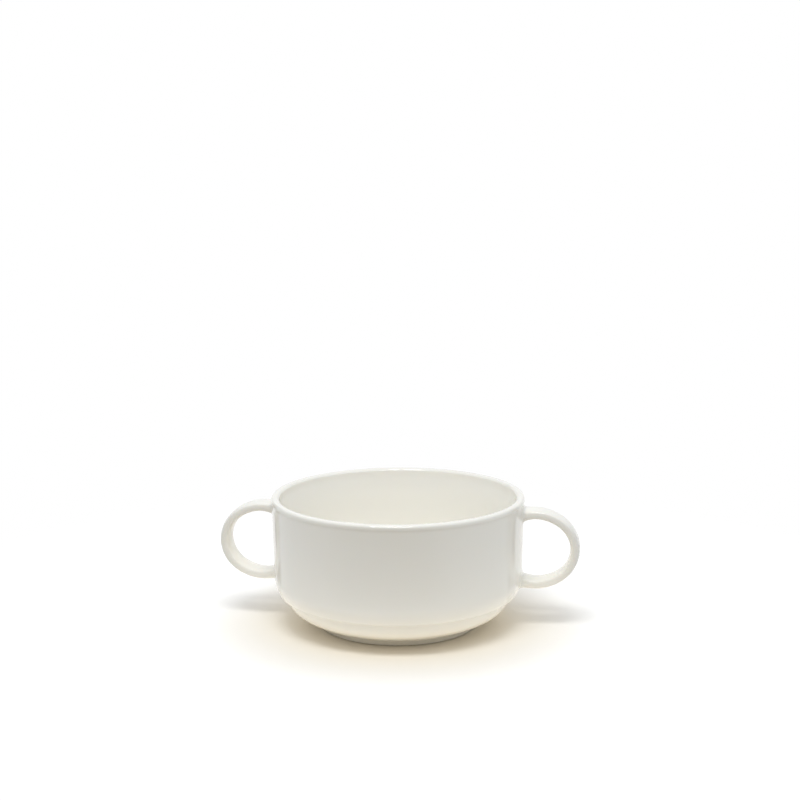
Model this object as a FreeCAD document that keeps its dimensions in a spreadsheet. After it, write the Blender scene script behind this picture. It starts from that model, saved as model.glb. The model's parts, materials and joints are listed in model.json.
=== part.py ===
import FreeCAD, Part
import os
import Sketcher

# Two-handled soup bowl
#
# One piece of thick glazed porcelain. The bowl is round about the Z axis and stands on a foot
# ring at Z = 0. Below the wall it steps in to a narrower seat, so that it stacks in the rim of
# another. Two flat strap ears leave the wall along +X and -X.
# The order keeps the ears out of the well: the outside is turned with its rounded lip, the ears
# are set on, their joints are wiped to small fillets, and the inside is hollowed last.
# In each sketch the curves are first drawn roughly in place, by shares of the sizes. The rules and
# measures below them then move every point to where it belongs.

# Driving sizes, in millimetres, and two angles in degrees
SIZES = {
    "rim_radius": 55.0,        # outside of the lip
    "bowl_height": 56.8,       # table to the top of the lip
    "lip_thickness": 2.7,      # across the top of the lip
    "lip_round": 1.25,         # rounding of the lip's two edges
    "lip_height": 2.2,         # upright outer side of the lip, with its rounding
    "lip_slope": 0.7,          # height over which the wall swells out to the lip
    "lip_proud": 0.25,         # how far the lip stands out from the wall
    "wall_taper": 0.65,        # how much narrower the wall is at the belly than below the lip
    "wall_thickness": 4.1,     # outside of the lip to the inner wall where the flare ends
    "flare_depth": 14.5,       # top of the lip to the foot of the inner flare
    "inner_slope": 2.2,        # inner wall off the vertical, in degrees
    "belly_height": 22.5,      # where the wall starts to curve in
    "shoulder_inset": 2.2,     # how far it has curved in at the ledge
    "ledge_height": 14.5,      # stacking ledge above the table
    "ledge_width": 3.2,
    "seat_land": 0.6,          # short upright stretch below the ledge
    "seat_bend": 8.5,          # tight upper curve of the seat
    "bottom_bend": 24.0,       # slack lower curve of the seat
    "foot_radius": 35.0,
    "foot_depth": 2.8,         # outer side of the foot ring
    "foot_width": 3.2,
    "recess_depth": 2.2,       # underside above the table, inside the foot ring
    "floor_height": 6.6,       # inside floor above the table
    "floor_bend": 22.0,        # inner wall into the floor
    "ledge_round": 0.5,        # softened outer edge of the ledge
    "foot_bevel": 0.4,         # edges of the foot ring's unglazed face
    "ear_drop": 5.6,           # top of the lip to the middle of the ear's upper arm
    "ear_lift": 4.3,           # ledge up to the middle of the ear's lower arm
    "ear_straight": 1.4,       # straight stretch of each arm outside the rim
    "ear_reach": 21.95,        # rim to the middle of the strap where it stands out most
    "ear_bend": 42.5,          # turn of the slack bends above and below, in degrees
    "ear_root": 5.0,           # how deep the arms run in behind the rim
    "strap_width": 11.0,
    "strap_thickness": 4.5,
    "strap_edge": 1.85,        # rounding of the strap's two edges
    "joint_round": 1.1,        # wiped joint of ear and wall
}

doc = FreeCAD.newDocument("SoupBowl")
sheet = doc.addObject("Spreadsheet::Sheet", "Sizes")
for row, (alias, value) in enumerate(SIZES.items(), start=1):
    sheet.set("A%d" % row, alias)
    sheet.set("B%d" % row, str(value))
    sheet.setAlias("B%d" % row, alias)
doc.recompute()

# Names for the Sketcher's fixed numbers
ORIGIN = (-1, 1)
ACROSS = -1
UPRIGHT = -2
START, END, CENTRE = range(1, 4)


def origin_part(body, role):
    for feature in body.Origin.OriginFeatures:
        if feature.Role == role:
            return feature


def new_sketch(body, name, plane):
    sketch = body.newObject("Sketcher::SketchObject", name)
    sketch.AttachmentSupport = [(origin_part(body, plane), "")]
    sketch.MapMode = "FlatFace"
    return sketch


def vector(point):
    return FreeCAD.Vector(point[0], point[1], 0)


def line(sketch, start, end, construction=False):
    return sketch.addGeometry(Part.LineSegment(vector(start), vector(end)), construction)


def arc(sketch, start, middle, end):
    """An arc through three points, given anticlockwise, as the Sketcher keeps it."""
    return sketch.addGeometry(Part.Arc(vector(start), vector(middle), vector(end)), False)


def rule(sketch, kind, *where):
    sketch.addConstraint(Sketcher.Constraint(kind, *where))


def measure(sketch, kind, where, alias, formula=None):
    """A dimension that follows one cell of the sheet, or a formula of its cells."""
    index = sketch.addConstraint(Sketcher.Constraint(kind, *where, SIZES[alias]))
    sketch.setExpression("Constraints[%d]" % index, formula or "Sizes." + alias)


def rim_mark(sketch, across):
    """A construction point level with the lip's top, at the rim or on the axis."""
    point = FreeCAD.Vector(across, SIZES["bowl_height"], 0)
    mark = (sketch.addGeometry(Part.Point(point), True), START)
    measure(sketch, "DistanceY", (*ORIGIN, *mark), "bowl_height")
    if across:
        measure(sketch, "DistanceX", (*ORIGIN, *mark), "rim_radius")
    else:
        rule(sketch, "PointOnObject", *mark, UPRIGHT)
    return mark


def draw_outside(body):
    """Half section of the turned outside, from the underside out and up over the lip."""
    sketch = new_sketch(body, "OutsideProfile", "XZ_Plane")
    top = SIZES["bowl_height"]
    rim = SIZES["rim_radius"]
    neck = rim - SIZES["lip_proud"]
    belly = neck - SIZES["wall_taper"]
    ledge = belly - SIZES["shoulder_inset"]
    seat = ledge - SIZES["ledge_width"]
    foot = SIZES["foot_radius"]
    inner_foot = foot - SIZES["foot_width"]
    recess = SIZES["recess_depth"]
    foot_top = SIZES["foot_depth"]
    ledge_z = SIZES["ledge_height"]
    land_z = ledge_z - SIZES["seat_land"]
    belly_z = SIZES["belly_height"]
    lip_z = top - SIZES["lip_height"]
    neck_z = lip_z - SIZES["lip_slope"]
    bend = SIZES["seat_bend"]
    bend_end = (seat - 0.38 * bend, land_z - 0.79 * bend)
    bend_middle = (seat - 0.1 * bend, land_z - 0.45 * bend)
    sag = (0.012 * SIZES["bottom_bend"], 0.025 * SIZES["bottom_bend"])
    slack_middle = ((foot + bend_end[0]) / 2 + sag[0], (foot_top + bend_end[1]) / 2 - sag[1])
    shoulder_middle = (belly - 0.27 * SIZES["shoulder_inset"], (ledge_z + belly_z) / 2)
    bevel = SIZES["foot_bevel"]
    ledge_edge = SIZES["ledge_round"]
    lip_edge = SIZES["lip_round"]
    well = rim - SIZES["lip_thickness"]
    corner = 0.29

    underside = line(sketch, (0, recess), (inner_foot, recess))
    foot_inside = line(sketch, (inner_foot, recess), (inner_foot, bevel))
    inner_bevel = line(sketch, (inner_foot, bevel), (inner_foot + bevel, 0))
    foot_face = line(sketch, (inner_foot + bevel, 0), (foot - bevel, 0))
    outer_bevel = line(sketch, (foot - bevel, 0), (foot, bevel))
    foot_side = line(sketch, (foot, bevel), (foot, foot_top))
    slack = arc(sketch, (foot, foot_top), slack_middle, bend_end)
    tight = arc(sketch, bend_end, bend_middle, (seat, land_z))
    land = line(sketch, (seat, land_z), (seat, ledge_z))
    step = line(sketch, (seat, ledge_z), (ledge - ledge_edge, ledge_z))
    nose_middle = (ledge - corner * ledge_edge, ledge_z + corner * ledge_edge)
    nose = arc(sketch, (ledge - ledge_edge, ledge_z), nose_middle, (ledge, ledge_z + ledge_edge))
    shoulder = arc(sketch, (ledge, ledge_z + ledge_edge), shoulder_middle, (belly, belly_z))
    wall = line(sketch, (belly, belly_z), (neck, neck_z))
    swell = line(sketch, (neck, neck_z), (rim, lip_z))
    lip = line(sketch, (rim, lip_z), (rim, top - lip_edge))
    outer_middle = (rim - corner * lip_edge, top - corner * lip_edge)
    outer_round = arc(sketch, (rim, top - lip_edge), outer_middle, (rim - lip_edge, top))
    crest = line(sketch, (rim - lip_edge, top), (well + lip_edge, top))
    inner_middle = (well + corner * lip_edge, top - corner * lip_edge)
    inner_round = arc(sketch, (well + lip_edge, top), inner_middle, (well, top - lip_edge))
    cover = line(sketch, (well, top - lip_edge), (0, top - lip_edge))
    axis = line(sketch, (0, top - lip_edge), (0, recess))

    corners = [underside, foot_inside, inner_bevel, foot_face, outer_bevel, foot_side, slack]
    for before, after in zip(corners, corners[1:]):
        rule(sketch, "Coincident", before, END, after, START)
    rule(sketch, "Tangent", slack, END, tight, START)
    rule(sketch, "Tangent", tight, END, land, START)
    rule(sketch, "Coincident", land, END, step, START)
    for before, after in ((step, nose), (nose, shoulder), (shoulder, wall)):
        rule(sketch, "Tangent", before, END, after, START)
    for before, after in ((lip, outer_round), (outer_round, crest), (crest, inner_round)):
        rule(sketch, "Tangent", before, END, after, START)
    rule(sketch, "Equal", outer_round, inner_round)
    rule(sketch, "Horizontal", inner_round, CENTRE, inner_round, END)
    corners = [wall, swell, lip]
    for before, after in zip(corners, corners[1:]):
        rule(sketch, "Coincident", before, END, after, START)
    corners = [inner_round, cover, axis, underside]
    for before, after in zip(corners, corners[1:]):
        rule(sketch, "Coincident", before, END, after, START)
    for level in (underside, step, crest, cover):
        rule(sketch, "Horizontal", level)
    for upright in (foot_inside, foot_side, land, lip):
        rule(sketch, "Vertical", upright)
    rule(sketch, "PointOnObject", axis, START, UPRIGHT)
    rule(sketch, "PointOnObject", axis, END, UPRIGHT)
    rule(sketch, "PointOnObject", foot_face, START, ACROSS)
    rule(sketch, "PointOnObject", foot_face, END, ACROSS)

    measure(sketch, "DistanceY", (*ORIGIN, underside, START), "recess_depth")
    measure(sketch, "DistanceX", (*ORIGIN, foot_side, START), "foot_radius")
    measure(sketch, "DistanceX", (foot_inside, START, foot_side, END), "foot_width")
    measure(sketch, "DistanceY", (*ORIGIN, foot_side, END), "foot_depth")
    for slant in (inner_bevel, outer_bevel):
        measure(sketch, "DistanceX", (slant, START, slant, END), "foot_bevel")
    measure(sketch, "DistanceY", (*ORIGIN, foot_inside, END), "foot_bevel")
    measure(sketch, "DistanceY", (*ORIGIN, foot_side, START), "foot_bevel")
    measure(sketch, "Radius", (slack,), "bottom_bend")
    measure(sketch, "Radius", (tight,), "seat_bend")
    measure(sketch, "DistanceY", (land, START, land, END), "seat_land")
    measure(sketch, "DistanceX", (step, START, nose, END), "ledge_width")
    measure(sketch, "DistanceY", (*ORIGIN, step, END), "ledge_height")
    measure(sketch, "Radius", (nose,), "ledge_round")
    measure(sketch, "DistanceX", (shoulder, START, shoulder, END), "shoulder_inset")
    measure(sketch, "DistanceY", (*ORIGIN, shoulder, END), "belly_height")
    measure(sketch, "DistanceX", (wall, START, wall, END), "wall_taper")
    measure(sketch, "DistanceX", (swell, START, swell, END), "lip_proud")
    measure(sketch, "DistanceY", (swell, START, swell, END), "lip_slope")
    measure(sketch, "DistanceX", (inner_round, END, lip, END), "lip_thickness")
    measure(sketch, "Radius", (outer_round,), "lip_round")
    measure(sketch, "DistanceY", (lip, START, outer_round, END), "lip_height")
    measure(sketch, "DistanceX", (*ORIGIN, lip, END), "rim_radius")
    measure(sketch, "DistanceY", (*ORIGIN, crest, END), "bowl_height")
    return sketch


def draw_inside(body):
    """Half section of the hollow, carried on above the lip so that it cuts clean through."""
    sketch = new_sketch(body, "InsideProfile", "XZ_Plane")
    top = SIZES["bowl_height"]
    above = top + SIZES["floor_bend"]
    lip = SIZES["rim_radius"] - SIZES["lip_thickness"]
    flare = SIZES["rim_radius"] - SIZES["wall_thickness"]
    flare_z = top - SIZES["flare_depth"]
    floor = SIZES["floor_height"]
    bend = SIZES["floor_bend"]
    bend_top = (flare - 0.5, floor + 0.96 * bend)
    bend_foot = (bend_top[0] - bend, floor)
    bend_middle = (bend_foot[0] + 0.7 * bend, floor + 0.29 * bend)
    flare_middle = (0.7 * flare + 0.3 * lip, (flare_z + top) / 2)

    bottom = line(sketch, (0, floor), bend_foot)
    turn = arc(sketch, bend_foot, bend_middle, bend_top)
    wall = line(sketch, bend_top, (flare, flare_z))
    brink = top - SIZES["lip_round"]
    swell = arc(sketch, (lip, brink), flare_middle, (flare, flare_z))
    upright = line(sketch, (lip, brink), (lip, above))
    cover = line(sketch, (lip, above), (0, above))
    axis = line(sketch, (0, above), (0, floor))
    rim = rim_mark(sketch, SIZES["rim_radius"])

    rule(sketch, "Tangent", bottom, END, turn, START)
    rule(sketch, "Tangent", turn, END, wall, START)
    rule(sketch, "Tangent", wall, END, swell, END)
    rule(sketch, "Coincident", swell, START, upright, START)
    corners = [upright, cover, axis, bottom]
    for before, after in zip(corners, corners[1:]):
        rule(sketch, "Coincident", before, END, after, START)
    rule(sketch, "Horizontal", bottom)
    rule(sketch, "Horizontal", cover)
    rule(sketch, "Vertical", upright)
    rule(sketch, "PointOnObject", axis, START, UPRIGHT)
    rule(sketch, "PointOnObject", axis, END, UPRIGHT)

    measure(sketch, "DistanceY", (*ORIGIN, bottom, START), "floor_height")
    measure(sketch, "Radius", (turn,), "floor_bend")
    measure(sketch, "DistanceX", (swell, START, *rim), "lip_thickness")
    measure(sketch, "DistanceY", (swell, START, *rim), "lip_round")
    measure(sketch, "DistanceX", (wall, END, *rim), "wall_thickness")
    measure(sketch, "DistanceY", (wall, END, *rim), "flare_depth")
    measure(sketch, "DistanceY", (upright, START, upright, END), "floor_bend")
    index = sketch.addConstraint(Sketcher.Constraint("Angle", wall, 1.53))
    sketch.setExpression("Constraints[%d]" % index, "(90 - Sizes.inner_slope) * 1 deg")
    return sketch


def draw_ear_path(body):
    """Middle line of the ear: a level arm, a slack bend, a tight turn, and the same again."""
    sketch = new_sketch(body, "EarPath", "XZ_Plane")
    root = SIZES["rim_radius"] - SIZES["ear_root"]
    bend_x = SIZES["rim_radius"] + SIZES["ear_straight"]
    outermost = SIZES["rim_radius"] + SIZES["ear_reach"]
    upper = SIZES["bowl_height"] - SIZES["ear_drop"]
    lower = SIZES["ledge_height"] + SIZES["ear_lift"]
    middle = (upper + lower) / 2
    reach = outermost - bend_x
    rise = upper - middle
    knee = (bend_x + 0.79 * reach, 0.39 * rise)
    halfway = (bend_x + 0.42 * reach, 0.1 * rise)
    high_knee = (knee[0], upper - knee[1])
    high_halfway = (halfway[0], upper - halfway[1])
    low_knee = (knee[0], lower + knee[1])
    low_halfway = (halfway[0], lower + halfway[1])

    bottom_arm = line(sketch, (root, lower), (bend_x, lower))
    low_bend = arc(sketch, (bend_x, lower), low_halfway, low_knee)
    turn = arc(sketch, low_knee, (outermost, middle), high_knee)
    high_bend = arc(sketch, high_knee, high_halfway, (bend_x, upper))
    top_arm = line(sketch, (bend_x, upper), (root, upper))
    rim = rim_mark(sketch, SIZES["rim_radius"])
    tip = (sketch.addGeometry(Part.Point(vector((outermost, middle))), True), START)

    around = [bottom_arm, low_bend, turn, high_bend, top_arm]
    for before, after in zip(around, around[1:]):
        rule(sketch, "Tangent", before, END, after, START)
    rule(sketch, "Equal", low_bend, high_bend)
    rule(sketch, "Horizontal", top_arm)
    rule(sketch, "Horizontal", bottom_arm)
    rule(sketch, "Vertical", bottom_arm, START, top_arm, END)
    rule(sketch, "Vertical", bottom_arm, END, top_arm, START)
    rule(sketch, "PointOnObject", *tip, turn)
    rule(sketch, "Horizontal", turn, CENTRE, *tip)
    measure(sketch, "DistanceX", (top_arm, END, *rim), "ear_root")
    measure(sketch, "DistanceY", (top_arm, END, *rim), "ear_drop")
    measure(sketch, "DistanceX", (*rim, top_arm, START), "ear_straight")
    measure(sketch, "DistanceX", (*rim, *tip), "ear_reach")
    index = sketch.addConstraint(Sketcher.Constraint("Angle", low_bend, 0.74))
    sketch.setExpression("Constraints[%d]" % index, "Sizes.ear_bend * 1 deg")
    seat = (*ORIGIN, bottom_arm, START)
    measure(sketch, "DistanceY", seat, "ear_lift", "Sizes.ledge_height + Sizes.ear_lift")
    return sketch


def draw_strap(body):
    """Section of the strap: crowned faces and tightly rounded edges, one arc each."""
    sketch = new_sketch(body, "StrapSection", "YZ_Plane")
    sketch.setExpression("AttachmentOffset.Base.z", "Sizes.rim_radius - Sizes.ear_root")
    level = SIZES["bowl_height"] - SIZES["ear_drop"]
    side = SIZES["strap_width"] / 2
    half = SIZES["strap_thickness"] / 2
    edge = SIZES["strap_edge"]
    knee = (side - 0.55 * edge, 0.88 * half)

    top = arc(sketch, (knee[0], level + knee[1]), (0, level + half), (-knee[0], level + knee[1]))
    left = arc(sketch, (-knee[0], level + knee[1]), (-side, level), (-knee[0], level - knee[1]))
    base = arc(sketch, (-knee[0], level - knee[1]), (0, level - half), (knee[0], level - knee[1]))
    right = arc(sketch, (knee[0], level - knee[1]), (side, level), (knee[0], level + knee[1]))
    thickness = line(sketch, (0, level - half), (0, level + half), construction=True)
    width = line(sketch, (-side, level), (side, level), construction=True)
    rim = rim_mark(sketch, 0)

    around = [top, left, base, right, top]
    for before, after in zip(around, around[1:]):
        rule(sketch, "Tangent", before, END, after, START)
    rule(sketch, "Equal", left, right)
    rule(sketch, "Equal", top, base)
    rule(sketch, "Symmetric", left, CENTRE, right, CENTRE, UPRIGHT)
    for end in (START, END):
        rule(sketch, "PointOnObject", thickness, end, UPRIGHT)
    rule(sketch, "PointOnObject", thickness, START, base)
    rule(sketch, "PointOnObject", thickness, END, top)
    rule(sketch, "PointOnObject", width, START, left)
    rule(sketch, "PointOnObject", width, END, right)
    rule(sketch, "PointOnObject", left, CENTRE, width)
    rule(sketch, "Horizontal", width)
    measure(sketch, "DistanceY", (thickness, START, thickness, END), "strap_thickness")
    measure(sketch, "DistanceX", (width, START, width, END), "strap_width")
    measure(sketch, "Radius", (left,), "strap_edge")
    measure(sketch, "DistanceY", (left, CENTRE, *rim), "ear_drop")
    return sketch


def turn_about_axis(body, kind, name, sketch):
    feature = body.newObject("PartDesign::" + kind, name)
    feature.Profile = sketch
    feature.ReferenceAxis = (sketch, ["V_Axis"])
    feature.Angle = 360
    doc.recompute()
    return feature


def joint_edges(shape, outside):
    """Names of the edges where the ears meet the turned outside, without its seam."""
    found = []
    for number, edge in enumerate(shape.Edges, start=1):
        ends = edge.ParameterRange
        stops = [ends[0] + (ends[1] - ends[0]) * share for share in (0.1, 0.5, 0.9)]
        points = [edge.valueAt(stop) for stop in stops]
        on_strap = all(abs(point.y) < SIZES["strap_width"] / 2 + 0.01 for point in points)
        off_seam = any(abs(point.y) > 0.05 for point in points)
        beside = all(abs(point.x) > SIZES["foot_radius"] for point in points)
        if not (on_strap and off_seam and beside):
            continue
        gaps = [outside.distToShape(Part.Vertex(point))[0] for point in points]
        if max(gaps) < 0.01:
            found.append("Edge%d" % number)
    return found


def soften(body, name, base, edges, formula):
    feature = body.newObject("PartDesign::Fillet", name)
    feature.Base = (base, edges)
    feature.setExpression("Radius", formula)
    doc.recompute()
    return feature


def build_bowl():
    body = doc.addObject("PartDesign::Body", "SoupBowlBody")
    body.Label = "soup_bowl"
    turned = turn_about_axis(body, "Revolution", "Outside", draw_outside(body))

    ear_path = draw_ear_path(body)
    strap = draw_strap(body)
    doc.recompute()
    ear = body.newObject("PartDesign::AdditivePipe", "Ear")
    ear.Profile = strap
    ear.Spine = (ear_path, ["Edge%d" % number for number in range(1, 6)])
    doc.recompute()
    pair = body.newObject("PartDesign::PolarPattern", "EarPair")
    pair.Originals = [ear]
    pair.Axis = (origin_part(body, "Z_Axis"), [""])
    pair.Angle = 360
    pair.Occurrences = 2
    body.Tip = pair
    doc.recompute()

    edges = joint_edges(pair.Shape, turned.Shape)
    soften(body, "WipedJoints", pair, edges, "Sizes.joint_round")
    before = body.Shape.Volume
    turn_about_axis(body, "Groove", "Inside", draw_inside(body))
    if body.Shape.Volume > 0.7 * before:
        raise RuntimeError("the inside was not hollowed")
    return body


def write_step(part):
    for thing in doc.Objects:
        if "Invalid" in thing.State or "Error" in thing.State:
            raise RuntimeError("%s failed: %s" % (thing.Name, thing.State))
    shape = part.Shape
    if shape.isNull() or not shape.isValid() or len(shape.Solids) != 1:
        raise RuntimeError("%s is not one valid solid" % part.Label)
    os.makedirs("parts", exist_ok=True)
    shape.exportStep("parts/%s.step" % part.Label)
    box = shape.optimalBoundingBox(True, False)
    print("%s: %.1f x %.1f x %.1f mm" % (part.Label, box.XLength, box.YLength, box.ZLength))
    print("volume %.1f cm3, %d faces" % (shape.Volume / 1000, len(shape.Faces)))


bowl = build_bowl()
doc.recompute()
write_step(bowl)
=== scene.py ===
# %% [markdown]
# # A two-handled soup bowl in glazed porcelain
# The bowl is one piece of thick porcelain: a round body with a rolled lip, a stacking ledge, a
# foot ring and two flat strap ears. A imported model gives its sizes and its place. This lesson
# makes the same form again as one smooth mesh, glazes it, and stands it on a pale table.

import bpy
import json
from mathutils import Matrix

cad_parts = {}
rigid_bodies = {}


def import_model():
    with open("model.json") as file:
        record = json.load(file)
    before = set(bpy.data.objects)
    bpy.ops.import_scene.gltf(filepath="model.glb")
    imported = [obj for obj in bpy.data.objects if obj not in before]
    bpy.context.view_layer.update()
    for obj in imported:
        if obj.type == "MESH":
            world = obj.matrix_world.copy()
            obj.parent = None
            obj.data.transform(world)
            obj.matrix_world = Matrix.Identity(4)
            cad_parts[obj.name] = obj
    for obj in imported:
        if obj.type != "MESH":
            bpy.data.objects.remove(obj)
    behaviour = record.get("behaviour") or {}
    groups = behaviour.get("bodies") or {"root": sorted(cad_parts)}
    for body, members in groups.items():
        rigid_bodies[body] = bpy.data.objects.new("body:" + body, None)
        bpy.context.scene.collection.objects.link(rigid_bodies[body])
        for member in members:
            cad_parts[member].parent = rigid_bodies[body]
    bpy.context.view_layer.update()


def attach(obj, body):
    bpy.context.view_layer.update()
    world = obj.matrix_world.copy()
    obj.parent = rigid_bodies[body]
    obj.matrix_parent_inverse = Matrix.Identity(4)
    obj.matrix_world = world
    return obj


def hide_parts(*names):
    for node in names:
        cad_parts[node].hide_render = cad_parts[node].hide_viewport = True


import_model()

# %% [markdown]
# ## Two helpers
# Blender works in metres, and a potter thinks in millimetres. So sizes are written in
# millimetres and turned into metres where an operator needs them. An operator acts on all that
# is selected. By hand one would click on the right parts; here one helper selects them. It goes
# through the vertices, edges or faces of the mesh in edit mode and keeps those whose middle
# passes a test, which says where they lie.

# %% Helpers for sizes and for selecting by place
import json
import math

import bmesh
import bpy
import numpy as np
from mathutils import Matrix, Vector

MM = 0.001


def metres(*sizes):
    return tuple(size * MM for size in sizes)


def pick(kind, test):
    """Selects the vertices, edges or faces whose middle, in mm, passes the test, and counts them."""
    bpy.ops.mesh.select_mode(type=kind)
    bpy.ops.mesh.select_all(action="DESELECT")
    mesh = bpy.context.edit_object.data
    shape = bmesh.from_edit_mesh(mesh)
    picked = 0
    for part in {"VERT": shape.verts, "EDGE": shape.edges, "FACE": shape.faces}[kind]:
        points = [part.co] if kind == "VERT" else [vertex.co for vertex in part.verts]
        middle = sum(points, Vector()) / len(points) / MM
        if test(part, middle):
            part.select_set(True)
            picked += 1
    shape.select_flush_mode()
    bmesh.update_edit_mesh(mesh)
    return picked


print("a rim of 110 mm is", metres(110)[0], "m across")

# %% [markdown]
# ## The half section
# A bowl thrown on a wheel is the same all the way round, so its half section says it all. It
# could be traced as a curve, but a list of rings, each a radius and a height in millimetres, can
# be measured and corrected one by one. Where the potter's tool left a round, the rings are taken
# from an arc, given by its centre and radius. So the arcs come first: two make the seat under
# the ledge, one the shoulder above it, one the flare of the inner wall and one its turn into the
# floor.

# %% Arcs of the half section
SEAT_SLACK = ((31.16, 26.49), 24.0)
SEAT_TIGHT = ((40.2, 13.9), 8.5)
SHOULDER = ((38.17, 22.83), 15.93)
FLARE = ((111.3, 38.5), 62.0)
FLOOR_TURN = ((27.25, 28.6), 22.0)


def bend(centre, radius, first, last, steps):
    """Rings along an arc, from one angle to another in degrees."""
    angles = [math.radians(first + (last - first) * step / steps) for step in range(steps + 1)]
    return [(centre[0] + radius * math.cos(a), centre[1] + radius * math.sin(a)) for a in angles]


def on_arc(centre, radius, height, side):
    """The ring at a height on an arc whose centre lies towards the axis (side 1) or beyond (side -1)."""
    return (centre[0] + side * math.sqrt(radius ** 2 - (height - centre[1]) ** 2), height)


print("the inner wall is narrowest %.1f mm from the axis" % on_arc(*FLARE, FLARE[0][1], -1)[0])

# %% [markdown]
# The list starts under the middle of the bowl, goes out over the foot ring, up the seat, the
# stacking ledge and the wall, over the lip, and down the inside to the middle of the floor. The
# rings lie close together where the form turns sharply, and far apart where it is nearly
# straight, because a smooth surface needs few of them there. The lip has two rounds, a tighter
# one outside and a softer one inside. The wall between shoulder and lip leans out a little.

# %% Rings from the middle of the underside to the middle of the floor
WALL_HEIGHT, WALL_RADIUS, WALL_LEAN = 23, 54.11, 0.0207

underside = [(0, 2.2), (15, 2.2), (26, 2.2), (30.4, 2.2), (31.35, 2.12), (31.75, 1.7)]
foot = [(31.8, 1.0), (31.87, 0.35), (32.25, 0.04), (33.4, 0.01), (34.55, 0.04), (34.93, 0.35),
        (35.0, 1.2), (35.02, 2.2), (35.3, 2.72), (36.0, 2.96)]
seat = [on_arc(*SEAT_SLACK, height, 1) for height in (3.65, 4.7, 5.85)]
seat += bend(*SEAT_TIGHT, -54.3, 0, 5)
ledge = [(48.71, 14.28), (48.95, 14.48), (49.7, 14.5), (50.6, 14.5)]
nose = [(51.25, 14.5), (51.8, 14.46), (52.13, 15.05)]
shoulder = [on_arc(*SHOULDER, height, 1) for height in (17.3, 19.8, 22.5)]
wall = [(WALL_RADIUS + WALL_LEAN * (height - WALL_HEIGHT), height)
        for height in (25.6, 30.3, 35, 39.7, 44.4, 47.2, 50, 52.6)]
lip = [(54.78, 54.1), (54.95, 54.75)]
lip += bend((53.68, 55.46), 1.3, 0, 82, 3) + bend((52.9, 55.16), 1.6, 97, 165, 4)
inside = [on_arc(*FLARE, height, -1) for height in (53.4, 50.8, 47.2, 42.6)] + [(49.3, 36)]
inside += bend(*FLOOR_TURN, -0.5, -90, 7) + [(21, 6.6), (11, 6.6), (0, 6.6)]
rings = underside + foot + seat + ledge + nose + shoulder + wall + lip + inside
widest, highest = np.array(rings).max(axis=0)
print(len(rings), "rings, widest %.2f mm, highest %.2f mm" % (widest, highest))

# %% [markdown]
# ## The cage
# A Subdivision Surface rounds a mesh by pulling its points in. One could push the points about
# until the surface looks right, but the rule is known: a point goes to four sixths of itself and
# one sixth of each of its two neighbours in the row. Where the smooth surface has to pass
# through a ring, the ring of the cage must lie a little further out, and solving the rule for
# all rings together tells how far. Points round a circle are pulled in as well, so all radii
# grow by one small factor. The three rings of the ledge's nose go on the cage as they are, so
# the surface rounds the nose a little, as glaze does.

# %% Cage that the smooth surface needs
SEGMENTS = 80
pull = np.eye(len(rings))
for row in range(1, len(rings) - 1):
    if rings[row] not in nose:
        pull[row, row - 1:row + 2] = 1 / 6, 4 / 6, 1 / 6
cage = np.linalg.solve(pull, np.array(rings))
cage[:, 0] *= 3 / (2 + math.cos(2 * math.pi / SEGMENTS))
print("the cage lies up to %.2f mm off its rings" % np.abs(cage - rings).max())

# %% [markdown]
# ## The turned body
# It could be spun from a drawn profile. Here it grows like a coiled pot, which shows every ring:
# a disc is added under the middle, and its edge is extruded, lifted and widened, ring by ring.
# The last ring closes to a point in the middle of the floor. Then half of the body is deleted,
# because both halves are alike and a mirror gives the other one back later, with its ear.

# %% Grow the body ring by ring
bpy.ops.object.select_all(action="DESELECT")
bpy.ops.mesh.primitive_circle_add(vertices=SEGMENTS, radius=cage[1][0] * MM, fill_type="TRIFAN")
bowl = bpy.context.object
bowl.name = bowl.data.name = "glazed_bowl"
bpy.ops.object.mode_set(mode="EDIT")
bpy.ops.transform.translate(value=metres(0, 0, cage[1][1]))
pick("EDGE", lambda edge, middle: edge.is_boundary)
for before, after in zip(cage[1:-2], cage[2:-1]):
    lift = metres(0, 0, after[1] - before[1])
    bpy.ops.mesh.extrude_edges_move(TRANSFORM_OT_translate={"value": lift})
    widen = after[0] / before[0]
    bpy.ops.transform.resize(value=(widen, widen, 1), center_override=(0, 0, 0))
bpy.ops.mesh.extrude_edges_move(TRANSFORM_OT_translate={"value": (0, 0, 0)})
bpy.ops.mesh.merge(type="CENTER")
pick("FACE", lambda face, middle: middle.x < 0)
bpy.ops.mesh.delete(type="FACE")
bpy.ops.object.mode_set(mode="OBJECT")
print("half body:", len(bowl.data.polygons), "faces")

# %% [markdown]
# ## The strap's section
# The ear is a flat strap of clay, pulled long, bent to a loop and pressed on. Its section is a
# crowned oblong. A flattened circle would have no edges, and a box no crown. So it starts as a
# grid of four by four squares, set upright where the upper arm ends and the loop begins, and the
# sixteen points of its border are moved out until the rounded surface is that oblong. One
# quarter of the outline is written down, and the others repeat it. The points at the corners are
# moved first, so that none lands where another still waits.

# %% Shape the strap's section
RIM = 55.0
ARM = RIM + 4.4                 # where the level arms end and the loop begins
UPPER, LOWER = 50.3, 19.5       # heights of the arms' middles
QUARTER = [(0, 2.31), (2.75, 2.09), (5.0, 1.64), (5.45, 1.06), (5.61, 0)]
NEAR = 0.05                     # a point this near to a place counts as being there

strap = QUARTER + [(y, -z) for y, z in QUARTER[3::-1]]
strap += [(-y, z) for y, z in strap[7:0:-1]]
border = [(across, 2) for across in (0, 1, 2)] + [(2, up) for up in (1, 0, -1, -2)]
border += [(across, -2) for across in (1, 0, -1, -2)] + [(-2, up) for up in (-1, 0, 1, 2)] + [(-1, 2)]


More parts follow.
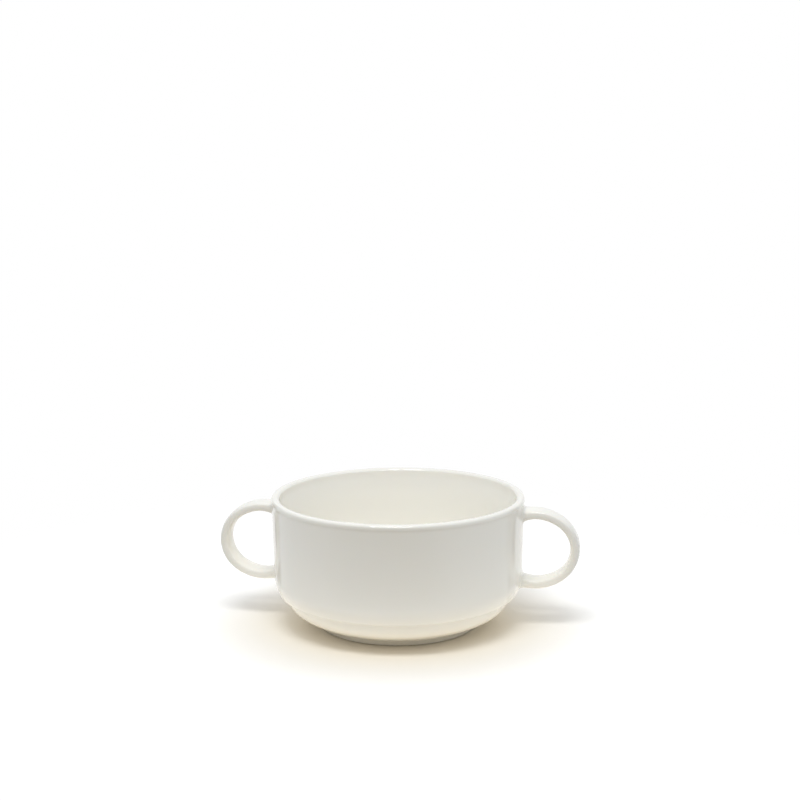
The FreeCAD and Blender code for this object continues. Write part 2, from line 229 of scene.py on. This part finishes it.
def drag(places, targets):
    """Moves the vertex at each place, in mm, to its target, and counts the vertices it found."""
    found = 0
    for place, target in zip(places, targets):
        place, target = Vector(place), Vector(target)
        found += pick("VERT", lambda vertex, middle: (middle - place).length < NEAR)
        bpy.ops.transform.translate(value=(target - place) * MM)
    return found


bpy.ops.object.select_all(action="DESELECT")
bpy.ops.mesh.primitive_grid_add(x_subdivisions=4, y_subdivisions=4, size=4 * MM,
                                location=metres(ARM, 0, UPPER), rotation=(math.pi / 2, 0, math.pi / 2))
ear = bpy.context.object
bpy.ops.object.transform_apply(location=True, rotation=True, scale=True)
bpy.ops.object.mode_set(mode="EDIT")
corners_first = sorted(zip(border, strap), key=lambda pair: -abs(pair[0][0]) - abs(pair[0][1]))
drawn = drag([(ARM, y, UPPER + z) for (y, z), target in corners_first],
             [(ARM, y, UPPER + z) for place, (y, z) in corners_first])
print("strap's section:", drawn, "points moved")

# %% [markdown]
# ## The loop
# The spin operator carries the section round the loop, as a hand would bend it: a slack bend, a
# tight turn and a slack bend again. A curve with a bevel could do that too, but spin gives even
# rows of squares that the wall's squares can join. Each bend is tangent to the next, so the two
# radii follow from how far out the loop goes and how far apart its arms are. That makes a pair
# of equations, and numpy solves it.

# %% Bend the strap to its loop
OUTERMOST = RIM + 21.9          # how far out the middle of the strap goes
SLACK_TURN = math.radians(35.5)
reach_and_rise = [[math.sin(SLACK_TURN), 1 - math.sin(SLACK_TURN)],
                  [1 - math.cos(SLACK_TURN), math.cos(SLACK_TURN)]]
slack, tight = np.linalg.solve(reach_and_rise, [OUTERMOST - ARM, (UPPER - LOWER) / 2])
bends = [((ARM, 0, UPPER - slack), SLACK_TURN, 4),
         ((OUTERMOST - tight, 0, (UPPER + LOWER) / 2), math.pi - 2 * SLACK_TURN, 9),
         ((ARM, 0, LOWER + slack), SLACK_TURN, 4)]
bpy.ops.mesh.select_all(action="SELECT")
for middle, angle, steps in bends:
    bpy.ops.mesh.spin(steps=steps, angle=angle, center=metres(*middle), axis=(0, -1, 0))
print("slack bend %.2f mm, tight turn %.2f mm" % (slack, tight))

# %% [markdown]
# ## The arms
# Between the loop and the wall the strap runs nearly level. It leans a little into the loop, and
# it swells on its inner side, where the clay was pressed against the wall. So each end is picked
# by its place and its normal, extruded towards the wall, and thickened with its outer side held
# still. The lower arm has further to go and takes two lengths. The faces that close the ends
# are deleted, because the wall takes hold of their edges.

# %% Carry the arms towards the wall
LEAN_IN = 0.15                  # for each length of arm
SWELL = 1.14
SQUARE_ON = 0.95                # a cap's normal points along X
STRAP_REACH = 3                 # a little more than half the strap's thickness
arms = [("upper", UPPER, -1, (-3.0,)), ("lower", LOWER, 1, (-2.6, -1.8))]
for name, level, inward, lengths in arms:
    caps = pick("FACE", lambda face, middle: abs(face.normal.x) > SQUARE_ON
                and abs(middle.x - ARM) < 2 * NEAR and abs(middle.z - level) < STRAP_REACH)
    outer_side = metres(0, 0, level - inward * strap[0][1])
    for length in lengths:
        onwards = metres(length, 0, inward * LEAN_IN)
        bpy.ops.mesh.extrude_region_move(TRANSFORM_OT_translate={"value": onwards})
        thicken = (1, 1, SWELL ** (1 / len(lengths)))
        bpy.ops.transform.resize(value=thicken, center_override=outer_side)
    bpy.ops.mesh.delete(type="FACE")
    print(name, "arm carried towards the wall,", caps, "cap faces deleted")
bpy.ops.object.mode_set(mode="OBJECT")

# %% [markdown]
# ## Fixing the ear to the wall
# A potter scores the wall, sticks the ear on and wipes the joint with a wet finger, which leaves
# a small hollow fillet. A Boolean would join them with a hard crease and ragged triangles. So
# ear and body become one mesh, the wall is opened under each arm, and wall and arm are led to
# each other. Two helpers say where: one finds a point on the wall's cage or just off it, and the
# other draws the strap's outline there, made larger.

# %% Join ear and body, and find places on the wall
bpy.ops.object.select_all(action="DESELECT")
ear.select_set(True)
bowl.select_set(True)
bpy.context.view_layer.objects.active = bowl
bpy.ops.object.join()
bpy.ops.object.mode_set(mode="EDIT")
outside = sorted((tuple(cage[row]) for row in range(rings.index(nose[-1]), rings.index(lip[2]))),
                 key=lambda ring: ring[1])


def on_wall(across, height, off=0.0):
    """The point of the cage's wall at a place across and a height, or so far off it."""
    radius = np.interp(height, [z for r, z in outside], [r for r, z in outside]) + off
    return (math.sqrt(radius ** 2 - across ** 2), across, height)


def outline(level, inward, wide, tall, off):
    """The strap's outline, so many times as wide and tall, and so far off the wall in mm.

    tall and off have one value for the outer side of the loop and one for its inner side."""
    points = []
    for across, up in strap:
        lean = 0.5 + 0.5 * inward * up / strap[0][1]
        stretch = tall[0] + (tall[1] - tall[0]) * lean
        points.append(on_wall(across * wide, level + up * stretch, off[0] + (off[1] - off[0]) * lean))
    return points


print("body and ear are one mesh; at 35 mm height the wall's cage is %.2f mm out" % on_wall(0, 35)[0])

# %% [markdown]
# Each opening takes out sixteen squares, four by four, so its edge has as many points as the
# strap. The edge is drawn in over two rings. The first still lies on the wall and keeps clear of
# the strap, most on the loop's inner side, where the fillet is larger. The second stands just
# off the wall, close round the strap. The arm's end is then bridged to it, and the smooth
# surface makes the fillet. Each new ring is first set aside, so that its points can be told from
# the old ones, and then each point is moved to its place.

# %% Open the wall and bridge the ear to it
HALF_OPENING = 8.6              # the opened squares' middles lie within this, on each side
EAR_SIDE = 50                   # only what lies beyond this, towards the ear
WALL_SKIN = 0.4                 # tells the outer wall's faces from the inner wall's
ASIDE = 6
# wide and tall are times the strap's own size, off is in mm; pairs are for outer and inner side
ON_WALL = {"wide": 1.23, "tall": (1.5, 2.1), "off": (0, 0)}
OFF_WALL = {"wide": 1.05, "tall": (1.12, 1.5), "off": (0.3, 0.6)}
joints = [("upper", UPPER - 2 * LEAN_IN, -1, (44.4, 47.2, 50, 52.6, 54.1)),
          ("lower", LOWER + 2 * LEAN_IN, 1, (15.05, 17.3, 19.8, 22.5, 25.6))]


def pick_open(low, high, off):
    """Selects the ear side's open edges between two heights, up to so far off the wall in mm."""
    return pick("EDGE", lambda edge, middle: edge.is_boundary and middle.x > EAR_SIDE
                and low - 2 * NEAR < middle.z < high + 2 * NEAR
                and middle.x < on_wall(0, middle.z, off)[0])


for name, level, inward, heights in joints:
    rows = [cage[[z for r, z in rings].index(height)] for height in heights]
    low, high = rows[0][1], rows[-1][1]
    opened = pick("FACE", lambda face, middle: middle.x > EAR_SIDE and abs(middle.y) < HALF_OPENING
                  and low < middle.z < high
                  and abs(math.hypot(middle.x, middle.y) - on_wall(0, middle.z)[0]) < WALL_SKIN)
    bpy.ops.mesh.delete(type="FACE")
    ring = []
    for across, up in border:
        radius, height = rows[up + 2]
        angle = 2 * math.pi / SEGMENTS * across
        ring.append((radius * math.cos(angle), radius * math.sin(angle), height))
    moved = 0
    for form in (ON_WALL, OFF_WALL):
        pick_open(low, high, NEAR)
        bpy.ops.mesh.extrude_edges_move(TRANSFORM_OT_translate={"value": metres(ASIDE, 0, 0)})
        target = outline(level, inward, **form)
        moved += drag([(x + ASIDE, y, z) for x, y, z in ring], target)
        ring = target
    bridged = pick_open(low, high, 2 * ASIDE)
    bpy.ops.mesh.bridge_edge_loops()
    print("%s joint from %.2f to %.2f mm: %d faces opened, %d points drawn in, %d edges bridged"
          % (name, low, high, opened, moved, bridged))
bpy.ops.object.mode_set(mode="OBJECT")

# %% [markdown]
# ## The other half, and the smooth surface
# The real bowl has two ears that are alike. A second one could be made in the same way, but
# Mirror doubles the half with its ear, and the rows on the middle plane meet and become one.
# Then the normals are turned outwards, and the Subdivision Surface rounds everything. Both
# modifiers are applied, so the finished piece is a plain mesh in its place.

# %% Mirror, recalculate and subdivide
mirror = bowl.modifiers.new("other_half", "MIRROR")
mirror.merge_threshold = 0.02 * MM
bpy.ops.object.modifier_apply(modifier=mirror.name)
bpy.ops.object.mode_set(mode="EDIT")
bpy.ops.mesh.select_all(action="SELECT")
bpy.ops.mesh.remove_doubles(threshold=0.01 * MM)
bpy.ops.mesh.normals_make_consistent(inside=False)
bpy.ops.object.mode_set(mode="OBJECT")
smooth = bowl.modifiers.new("glaze_smooth", "SUBSURF")
smooth.levels = smooth.render_levels = 2
bpy.ops.object.modifier_apply(modifier=smooth.name)
bpy.ops.object.shade_smooth()
print("bowl:", len(bowl.data.polygons), "faces")

# %% [markdown]
# ## A helper for materials
# A material is a tree of nodes. By hand one adds each Math node and draws each link. In a script
# that hides what is worked out, so a small class wraps a node's output: written as plain sums
# in Python, it adds the Math nodes by itself. Every other node comes from one method. Three
# short ones use it: a ramp makes a mask from a measure, a blend mixes two colours by a mask, and
# an axis takes one number out of a place.

# %% Helper for shader sums
class Wire:
    """A node's output. A sum, difference or product of wires and numbers adds a Math node."""

    def __init__(self, tree, socket=None):
        self.tree = tree
        self.socket = socket

    def node(self, kind, settings=(), output=0, **inputs):
        """Adds a node: its settings first, then the values or wires of its sockets.

        A socket goes by its name, or by its number where several share a name: _6 is inputs[6]."""
        made = self.tree.nodes.new("ShaderNode" + kind)
        for name, value in dict(settings).items():
            if name == "stops":
                for place, colour in value[len(made.color_ramp.elements):]:
                    made.color_ramp.elements.new(place)
                for element, (place, colour) in zip(made.color_ramp.elements, value):
                    element.position = place
                    element.color = (*colour, 1)
            else:
                setattr(made, name, value)
        for name, value in inputs.items():
            socket = made.inputs[int(name[1:]) if name[1:].isdigit() else name.replace("_", " ")]
            if isinstance(value, Wire):
                value.feeds(socket)
            else:
                socket.default_value = value
        return Wire(self.tree, made.outputs[output])

    def feeds(self, socket):
        """Links the wire to a socket."""
        self.tree.links.new(self.socket, socket)

    def maths(self, operation, first, second):
        return self.node("Math", {"operation": operation}, _0=first, _1=second)

    def __add__(self, other):
        return self.maths("ADD", self, other)

    def __sub__(self, other):
        return self.maths("SUBTRACT", self, other)

    def __rsub__(self, other):
        return self.maths("SUBTRACT", other, self)

    def __mul__(self, other):
        return self.maths("MULTIPLY", self, other)

    __radd__, __rmul__ = __add__, __mul__

    def ramp(self, low, high):
        """Goes smoothly from 0 to 1 while the wire goes from low to high."""
        return self.node("MapRange", {"interpolation_type": "SMOOTHSTEP"}, Value=self,
                         From_Min=low, From_Max=high)

    def blend(self, first, second):
        """The first colour where the wire is 0, the second where it is 1, and mixed between."""
        ends = [colour if isinstance(colour, Wire) else (*colour, 1) for colour in (first, second)]
        return self.node("Mix", {"data_type": "RGBA"}, output=2, _0=self, _6=ends[0], _7=ends[1])

    def axis(self, name):
        """One number of a place or direction: X, Y or Z."""
        return self.node("SeparateXYZ", output=name, Vector=self)


# %% [markdown]
# ## Glaze
# The porcelain is fired with a clear glaze that looks like warm milk. Three things keep it from
# looking like plastic: a little light goes into it and comes out soft, slow clouds of a deeper
# cream run through it, and its surface has a very faint waviness. Such ware stands on its foot
# ring in the kiln, so the very bottom of the ring is wiped clean of glaze, and bare, grainy clay
# shows there. A picture could carry all that, but a pattern worked out from the Object
# coordinates has no seam and stays sharp at any distance.

# %% Colour of the glaze and of the bare clay
glaze = bpy.data.materials.new("ivory_glaze")
glaze.use_nodes = True
shader = glaze.node_tree.nodes["Principled BSDF"]
spot = Wire(glaze.node_tree).node("TexCoord", output="Object")
cloud = spot.node("TexNoise", Vector=spot, Scale=28.0, Detail=2.0, Roughness=0.5)
cream = (cloud.ramp(0.35, 0.7) * 0.5).blend((0.957, 0.936, 0.868), (0.95, 0.924, 0.848))
grain = spot.node("TexNoise", Vector=spot, Scale=2600.0, Detail=3.0, Roughness=0.6)
clay = grain.ramp(0.4, 0.65).blend((0.76, 0.72, 0.64), (0.60, 0.55, 0.47))
BARE_UP_TO, GLAZED_FROM = 0.25, 0.45
bare = 1 - spot.axis("Z").ramp(*metres(BARE_UP_TO, GLAZED_FROM))
bare.blend(cream, clay).feeds(shader.inputs["Base Color"])
print("bare clay up to", BARE_UP_TO, "mm above the table, glaze from", GLAZED_FROM, "mm")

# %% [markdown]
# The gloss is nearly that of clean glass, a touch softer in the clouds, while bare clay is dull.
# A glossy thing shows its waviness only in what it mirrors, so a Bump node of two or three
# hundredths of a millimetre is enough: slow waves in the glaze, grit in the clay. Moving the
# mesh's points would need far more of them for the same look. What is the same all over is set
# on the shader's own sockets.

# %% Gloss, waviness and depth of the glaze
GLAZE_ROUGH, CLOUD_ROUGH, CLAY_ROUGH = 0.03, 0.02, 0.6
WAVE_DEPTH, GRIT_DEPTH = 0.02, 0.03
rough = GLAZE_ROUGH + CLOUD_ROUGH * cloud.ramp(0.3, 0.75) + CLAY_ROUGH * bare
rough.feeds(shader.inputs["Roughness"])
wave = spot.node("TexNoise", Vector=spot, Scale=150.0, Detail=1.0, Roughness=0.4)
relief = wave * (1 - bare) * WAVE_DEPTH + grain * bare * GRIT_DEPTH
spot.node("Bump", Strength=1.0, Distance=MM, Height=relief).feeds(shader.inputs["Normal"])
shader.inputs["IOR"].default_value = 1.52
shader.inputs["Subsurface Weight"].default_value = 0.06
shader.inputs["Subsurface Radius"].default_value = (1.0, 0.75, 0.5)
shader.inputs["Subsurface Scale"].default_value = 2 * MM
print("glaze nodes:", len(glaze.node_tree.nodes))

# %% [markdown]
# The bowl takes the glaze as its only material. It rides on the imported model's one body and
# stands for the imported bowl, which is then hidden.

# %% Glaze the bowl and give it its place in the imported model
bowl.data.materials.clear()
bowl.data.materials.append(glaze)
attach(bowl, "root")
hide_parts("soup_bowl")
print(bowl.name, "wears", bowl.data.materials[0].name)

# %% [markdown]
# ## Table
# The bowl is shown on white. A pale round table top carries it and catches its soft shadow. A
# square floor would show its edge or a horizon, so this one grows clear with the distance from
# its middle. Close to the foot its colour is painted warmer and darker: a painted warm shade
# under the bowl, which also warms the light that the table throws back onto the foot.
#
# The table also has a second task. The seat and the lower wall mirror it, and on the real bowl
# they are lit warmly from below. The Light Path node knows whether a ray comes from the camera,
# so the table can look plain and wide to the camera, and be a small warm disc for all the light
# that reaches the bowl.

# %% Pale table top
bpy.ops.object.select_all(action="DESELECT")
bpy.ops.mesh.primitive_circle_add(vertices=96, radius=0.9, fill_type="NGON")
table = bpy.context.object
table.name = table.data.name = "pale_table"
top = bpy.data.materials.new("pale_table_top")
top.use_nodes = True
surface = top.node_tree.nodes["Principled BSDF"]
surface.inputs["Roughness"].default_value = 0.7
board = Wire(top.node_tree).node("TexCoord", output="Object")
away = board.node("VectorMath", {"operation": "LENGTH"}, output="Value", _0=board)
# Painted warm shade: the base colour is warmer and darker within 38 to 100 mm of the middle
pale = away.ramp(*metres(38, 100)).blend((0.90, 0.845, 0.74), (0.90, 0.895, 0.88))
pale.feeds(surface.inputs["Base Color"])
table.data.materials.append(top)
print("table top: %.1f m across" % table.dimensions.x)

# %% [markdown]
# A faint glow of its own brings the table near to the white of the room. For the camera it
# grows outwards from the foot, so that the soft shadow under the bowl stays. For the bowl it is
# a ring that begins at the foot, amber there and ivory further out, and ends ten centimetres
# from the middle. A low lamp could do the same, but would show its own shape in the glaze.

# %% Glow of the table, for the camera and for the bowl
GLOW = 0.32
AT_FOOT = 0.45                  # share of the ring's full glow close to the foot
BLACK, WHITE = (0, 0, 0), (1, 1, 1)
ring_starts = away.ramp(*metres(35, 45)) * (AT_FOOT + (1 - AT_FOOT) * away.ramp(*metres(45, 65)))
ring_ends = 1 - away.ramp(*metres(75, 100))
amber = away.ramp(*metres(40, 65)).blend((1.0, 0.74, 0.38), (1.0, 0.95, 0.86))
for_bowl = (ring_starts * ring_ends).blend(BLACK, amber)
for_camera = away.ramp(*metres(45, 120)).blend(BLACK, WHITE)
to_camera = board.node("LightPath", output="Is Camera Ray")
to_camera.blend(for_bowl, for_camera).feeds(surface.inputs["Emission Color"])
surface.inputs["Emission Strength"].default_value = GLOW
print("table nodes so far:", len(top.node_tree.nodes))

# %% [markdown]
# Alpha makes the table fade out: for the camera between 12 and 26 centimetres from its middle,
# so that no edge shows from any side, and for the bowl between 8.5 and 12, so that the wall
# mirrors the room beyond it. A disc cut off at that size would end in a hard line.

# %% Where the table ends
seen_by_bowl = 1 - away.ramp(*metres(85, 120))
seen_by_camera = 1 - away.ramp(*metres(120, 260))
(seen_by_bowl + to_camera * (seen_by_camera - seen_by_bowl)).feeds(surface.inputs["Alpha"])
print("table nodes:", len(top.node_tree.nodes))

# %% [markdown]
# ## The room
# Glaze is a curved mirror, so the bowl gets its form from the room around it: dark in front,
# where the photographer stands, soft and bright at the sides, with one dark upright stripe on
# each side further back, and a bright backdrop. Cards and lamps could be set up for that. A
# painted world gives the same reflections with less noise and no edges to hide.
#
# The paint follows the angle by which a direction is turned from the front, the same to the left
# and to the right. It has one set of colours above the horizon and a lighter one below it, which
# the upright wall mirrors, because the camera looks down on it.

# %% Walls of the room
room = bpy.data.worlds.new("white_room")
bpy.context.scene.world = room
room.use_nodes = True
bpy.context.scene.view_settings.view_transform = "Standard"
look = Wire(room.node_tree).node("TexCoord", output="Generated")
side, depth, up = [look.axis(name) for name in "XYZ"]
aside = look.node("Math", {"operation": "ABSOLUTE"}, _0=side)
turned = look.maths("ARCTAN2", aside, depth * -1) * (1 / math.pi)    # 0 in front, 1 behind
# degrees from the front, colour above the horizon, colour below it
paint = [(0, (0.065, 0.05525, 0.04225), (0.24, 0.21, 0.155)),
         (35, (0.0845, 0.0715, 0.0585), (0.32, 0.30, 0.25)),
         (62, (0.286, 0.312, 0.3445), (0.74, 0.75, 0.76)),
         (128, (0.481, 0.507, 0.533), (0.97, 0.99, 1.0)),
         (131, (0.13, 0.104, 0.0715), (0.36, 0.31, 0.24)),
         (141, (0.13, 0.104, 0.0715), (0.36, 0.31, 0.24)),
         (144, (0.845, 0.845, 0.845), (1.12, 1.12, 1.12))]
above = look.node("ValToRGB", {"stops": [(angle / 180, high) for angle, high, low in paint]}, Fac=turned)
below = look.node("ValToRGB", {"stops": [(angle / 180, low) for angle, high, low in paint]}, Fac=turned)
wall_colour = up.ramp(-0.06, 0.04).blend(below, above)
print("room painted at", [angle for angle, high, low in paint], "degrees from the front")

# %% [markdown]
# Further up the walls run into a soft grey ceiling with a brighter patch straight overhead, and
# whatever faces up mirrors them. They are blended in by how steeply a direction rises. A white
# backdrop behind the bowl would have to be lit by itself; here the camera's own rays see the
# whole room as plain white.

# %% Ceiling, and what the camera sees
CEILING, SKYLIGHT = (0.64, 0.66, 0.69), (0.90, 0.91, 0.93)
ceiling = up.ramp(0.25, 0.65).blend(wall_colour, CEILING)
ceiling = up.ramp(0.84, 0.94).blend(ceiling, SKYLIGHT)
by_camera = look.node("LightPath", output="Is Camera Ray")
by_camera.blend(ceiling, WHITE).feeds(room.node_tree.nodes["Background"].inputs["Color"])
print("room nodes:", len(room.node_tree.nodes))

# %% [markdown]
# One large panel hangs over the bowl, a little towards the camera. It makes the long highlights
# on the lip and the ears and the soft shadow on the table. A small lamp would make both hard.
# Its power is worked out from its area, so it would look as bright if its size changed.

# %% Overhead panel
PANEL_PLACE = Vector((0.0, -0.45, 0.97))
PANEL_SIZE = (0.5, 0.24)
RADIANCE = 12.2
AIM = Vector((0, 0, 0.03))
bpy.ops.object.light_add(type="AREA", location=PANEL_PLACE)
panel = bpy.context.object
panel.name = "overhead_panel"
panel.rotation_euler = (AIM - PANEL_PLACE).to_track_quat("-Z", "Y").to_euler()
panel.data.shape = "RECTANGLE"
panel.data.size, panel.data.size_y = PANEL_SIZE
panel.data.energy = RADIANCE * math.pi * PANEL_SIZE[0] * PANEL_SIZE[1]
panel.data.color = (0.98, 0.99, 1.0)
print("panel: %.1f W" % panel.data.energy)

# %% [markdown]
# ## Camera
# The camera stands some 60 centimetres in front of the bowl, a little to the right, and looks
# down at it. It is aimed above the bowl, so the bowl stands below the middle of the picture and
# is seen at about 13 degrees from above, with its inside as a flat oval. Its place and lens were
# found by matching the rim's oval, the wall's sides and the foot. A camera looks straight down
# until it is turned, so three turns aim it: about its own line of sight, up from straight down,
# and about the upright axis.

# %% Camera at the viewing angle of the photograph
TURNED, LOOKING_DOWN, TILTED = 8.37, 9.61, -0.33
turn = Matrix.Rotation(math.radians(TURNED), 4, "Z")
turn = turn @ Matrix.Rotation(math.radians(90 - LOOKING_DOWN), 4, "X")
turn = turn @ Matrix.Rotation(math.radians(TILTED), 4, "Z")
bpy.ops.object.camera_add(location=metres(88.5, -593.4, 199.7), rotation=turn.to_euler())
camera = bpy.context.object
camera.data.lens = 63.79
bpy.context.scene.camera = camera
print("camera %.0f mm from the middle of the foot" % (camera.location.length / MM))
